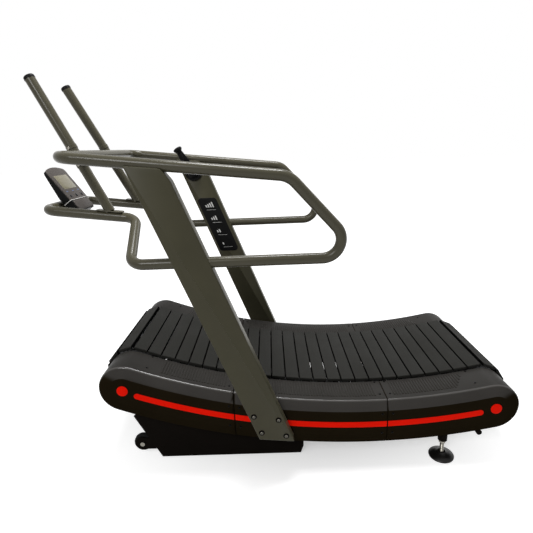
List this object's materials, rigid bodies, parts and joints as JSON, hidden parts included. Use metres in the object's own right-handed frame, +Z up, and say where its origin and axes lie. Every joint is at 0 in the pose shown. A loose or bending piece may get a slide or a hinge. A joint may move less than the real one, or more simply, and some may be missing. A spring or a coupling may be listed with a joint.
{
  "type": "curved manual treadmill",
  "caption": "Free-standing curved treadmill driven by the runner, with a slat belt, moulded side covers, leaning uprights, bent handrails, push bars, console and resistance lever.",
  "frame": {"origin": "on the floor, under the middle of the whole length and width", "axes": "+X to the rear of the machine, +Y to the runner's right, +Z up"},
  "size_m": [1.8536, 0.865, 1.5315],
  "materials": {
    "powder_coat": "satin olive-grey powder coat",
    "cover_plastic": "moulded charcoal plastic",
    "slat_rubber": "matt rubber faced slat",
    "belt_rubber": "black rubber",
    "red_trim": "glossy red",
    "black_steel": "black paint",
    "bright_steel": "turned steel",
    "dark_bolt": "black oxide",
    "cast_aluminium": "turned aluminium",
    "black_plastic": "fine grained black plastic",
    "screen_face": "display window",
    "button_plastic": "dark buttons"
  },
  "bodies": {
    "frame": {"upright_left": "powder_coat", "upright_right": "powder_coat", "handrail_left": "powder_coat", "handrail_right": "powder_coat", "front_loop": "powder_coat", "push_bars": "powder_coat", "console_bracket": "powder_coat", "cover_front_left": "cover_plastic", "cover_middle_left": "cover_plastic", "cover_rear_left": "cover_plastic", "cover_front_right": "cover_plastic", "cover_middle_right": "cover_plastic", "cover_rear_right": "cover_plastic", "base_pads": "belt_rubber", "resistance_cable": "belt_rubber", "red_strips": "red_trim", "axle_caps": "red_trim", "side_plate_left": "black_steel", "side_plate_right": "black_steel", "cross_tubes": "black_steel", "base_left": "black_steel", "base_right": "black_steel", "base_bars": "black_steel", "foot_sleeves": "black_steel", "lift_handle": "black_steel", "bearing_units": "black_steel", "lever_hub": "black_steel", "foot_nuts": "bright_steel", "wheel_bolts": "bright_steel", "upright_bolts": "dark_bolt", "cover_screws": "dark_bolt", "push_bar_caps": "black_plastic", "console_case": "black_plastic", "level_plate": "black_plastic", "guide_rollers": "black_plastic", "console_screen": "screen_face"},
    "belt_top": {"slats_top": "slat_rubber", "carriers_top": "belt_rubber"},
    "belt_front": {"slats_front": "slat_rubber", "carriers_front": "belt_rubber"},
    "belt_rear": {"slats_rear": "slat_rubber", "carriers_rear": "belt_rubber"},
    "belt_return": {"slats_return": "slat_rubber", "carriers_return": "belt_rubber"},
    "front_axle": {"front_drum": "cast_aluminium", "front_shaft": "bright_steel", "flywheel": "bright_steel"},
    "rear_axle": {"rear_drum": "cast_aluminium", "rear_shaft": "bright_steel"},
    "lever": {"resistance_lever": "black_steel", "lever_knob": "black_plastic"},
    "yoke": {"magnet_yoke": "black_steel"},
    "wheel_left": {"transport_wheel_left": "belt_rubber"},
    "wheel_right": {"transport_wheel_right": "belt_rubber"},
    "rear_foot_left": {"foot_left": "black_steel"},
    "rear_foot_right": {"foot_right": "black_steel"},
    "button_left": {"console_button_left": "button_plastic"},
    "button_middle": {"console_button_middle": "button_plastic"},
    "button_right": {"console_button_right": "button_plastic"}
  },
  "joints": [
    {"name": "front_axle_spin", "type": "hinge", "parent": "frame", "child": "front_axle", "pos_m": [-0.60975, 0, 0.3695], "axis": [0, 1, 0], "continuous": true},
    {"name": "rear_axle_spin", "type": "hinge", "parent": "frame", "child": "rear_axle", "pos_m": [0.81719, 0, 0.24089], "axis": [0, 1, 0], "continuous": true},
    {"name": "belt_front_turn", "type": "hinge", "parent": "frame", "child": "belt_front", "pos_m": [-0.60975, 0, 0.3695], "axis": [0, 1, 0], "range_deg": [-17.91, 17.91]},
    {"name": "belt_rear_turn", "type": "hinge", "parent": "frame", "child": "belt_rear", "pos_m": [0.81719, 0, 0.24089], "axis": [0, 1, 0], "range_deg": [-17.96, 17.96]},
    {"name": "belt_top_run", "type": "hinge", "parent": "frame", "child": "belt_top", "pos_m": [0.32433, 0, 2.753], "axis": [0, 1, 0], "range_deg": [-0.69, 0.69]},
    {"name": "belt_return_run", "type": "hinge", "parent": "frame", "child": "belt_return", "pos_m": [0.32433, 0, 2.753], "axis": [0, 1, 0], "range_deg": [-0.64, 0.64]},
    {"name": "lever_turn", "type": "hinge", "parent": "frame", "child": "lever", "pos_m": [-0.40145, 0, 1.13568], "axis": [0, 1, 0], "range_deg": [-10, 50]},
    {"name": "yoke_turn", "type": "hinge", "parent": "frame", "child": "yoke", "pos_m": [-0.50475, 0, 0.35], "axis": [0, 1, 0], "range_deg": [-2.6, 12.6]},
    {"name": "wheel_left_spin", "type": "hinge", "parent": "frame", "child": "wheel_left", "pos_m": [-0.58767, 0, 0.072], "axis": [0, 1, 0], "continuous": true},
    {"name": "wheel_right_spin", "type": "hinge", "parent": "frame", "child": "wheel_right", "pos_m": [-0.58767, 0, 0.072], "axis": [0, 1, 0], "continuous": true},
    {"name": "foot_left_screw", "type": "slide", "parent": "frame", "child": "rear_foot_left", "axis": [0, 0, 1], "range_m": [-0.01, 0.012]},
    {"name": "foot_right_screw", "type": "slide", "parent": "frame", "child": "rear_foot_right", "axis": [0, 0, 1], "range_m": [-0.01, 0.012]},
    {"name": "button_left_press", "type": "slide", "parent": "frame", "child": "button_left", "axis": [-0.8202, 0, -0.5721], "range_m": [0, 0.0015], "stiffness_N_per_m": 300},
    {"name": "button_middle_press", "type": "slide", "parent": "frame", "child": "button_middle", "axis": [-0.8202, 0, -0.5721], "range_m": [0, 0.0015], "stiffness_N_per_m": 300},
    {"name": "button_right_press", "type": "slide", "parent": "frame", "child": "button_right", "axis": [-0.8202, 0, -0.5721], "range_m": [0, 0.0015], "stiffness_N_per_m": 300}
  ],
  "couplings": [
    {"joint": "rear_axle_spin", "follows": "front_axle_spin", "ratio": 1},
    {"joint": "belt_rear_turn", "follows": "belt_front_turn", "ratio": 1},
    {"joint": "belt_top_run", "follows": "belt_front_turn", "ratio": -0.037698},
    {"joint": "belt_return_run", "follows": "belt_front_turn", "ratio": 0.035055},
    {"joint": "yoke_turn", "follows": "lever_turn", "ratio": 0.25}
  ]
}
